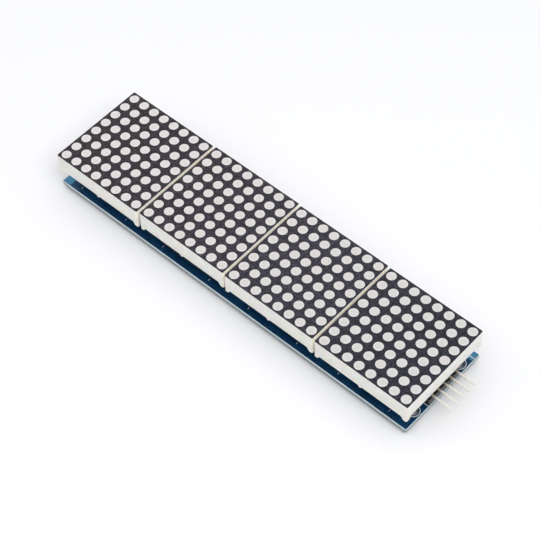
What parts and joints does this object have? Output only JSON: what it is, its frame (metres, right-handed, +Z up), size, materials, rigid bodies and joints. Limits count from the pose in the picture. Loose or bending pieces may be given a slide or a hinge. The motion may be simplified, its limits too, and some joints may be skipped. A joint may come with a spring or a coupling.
{
  "type": "led dot matrix module",
  "caption": "Long circuit board with a row of square plug-in dot matrix displays, drivers under them and a right-angle pin header at one end.",
  "frame": {"origin": "under the middle of the whole part, header pins included, at the tips of the socket tails", "axes": "+X along the board towards the header pins, +Y to the rear, +Z up out of the faces"},
  "size_m": [0.1366, 0.0324, 0.0144],
  "materials": {
    "solder_mask": "blue solder mask over glass-filled laminate",
    "housing_plastic": "off-white moulded plastic, fine texture",
    "face_black": "matt black printed layer",
    "resin_white": "milky cast resin, satin",
    "base_laminate": "pale laminate",
    "tinned_metal": "bright tin plating",
    "black_moulding": "black moulded plastic",
    "chip_moulding": "charcoal moulding compound",
    "resistor_black": "black glazed ceramic chip",
    "capacitor_ceramic": "tan ceramic chip",
    "capacitor_moulding": "yellow-orange moulding"
  },
  "bodies": {
    "root": {"circuit_board": "solder_mask", "header_body": "black_moulding", "header_pins": "tinned_metal", "display_1_housing": "housing_plastic", "display_1_face": "face_black", "display_1_resin": "resin_white", "display_1_base": "base_laminate", "display_1_pins": "tinned_metal", "driver_1_body": "chip_moulding", "driver_1_leads": "tinned_metal", "driver_1_resistor": "resistor_black", "driver_1_ceramic_capacitor": "capacitor_ceramic", "driver_1_reservoir_capacitor": "capacitor_moulding", "socket_1_front": "black_moulding", "socket_1_rear": "black_moulding", "socket_1_tails": "tinned_metal", "display_2_housing": "housing_plastic", "display_2_face": "face_black", "display_2_resin": "resin_white", "display_2_base": "base_laminate", "display_2_pins": "tinned_metal", "driver_2_body": "chip_moulding", "driver_2_leads": "tinned_metal", "driver_2_resistor": "resistor_black", "driver_2_ceramic_capacitor": "capacitor_ceramic", "driver_2_reservoir_capacitor": "capacitor_moulding", "socket_2_front": "black_moulding", "socket_2_rear": "black_moulding", "socket_2_tails": "tinned_metal", "display_3_housing": "housing_plastic", "display_3_face": "face_black", "display_3_resin": "resin_white", "display_3_base": "base_laminate", "display_3_pins": "tinned_metal", "driver_3_body": "chip_moulding", "driver_3_leads": "tinned_metal", "driver_3_resistor": "resistor_black", "driver_3_ceramic_capacitor": "capacitor_ceramic", "driver_3_reservoir_capacitor": "capacitor_moulding", "socket_3_front": "black_moulding", "socket_3_rear": "black_moulding", "socket_3_tails": "tinned_metal", "display_4_housing": "housing_plastic", "display_4_face": "face_black", "display_4_resin": "resin_white", "display_4_base": "base_laminate", "display_4_pins": "tinned_metal", "driver_4_body": "chip_moulding", "driver_4_leads": "tinned_metal", "driver_4_resistor": "resistor_black", "driver_4_ceramic_capacitor": "capacitor_ceramic", "driver_4_reservoir_capacitor": "capacitor_moulding", "socket_4_front": "black_moulding", "socket_4_rear": "black_moulding", "socket_4_tails": "tinned_metal"}
  },
  "joints": []
}
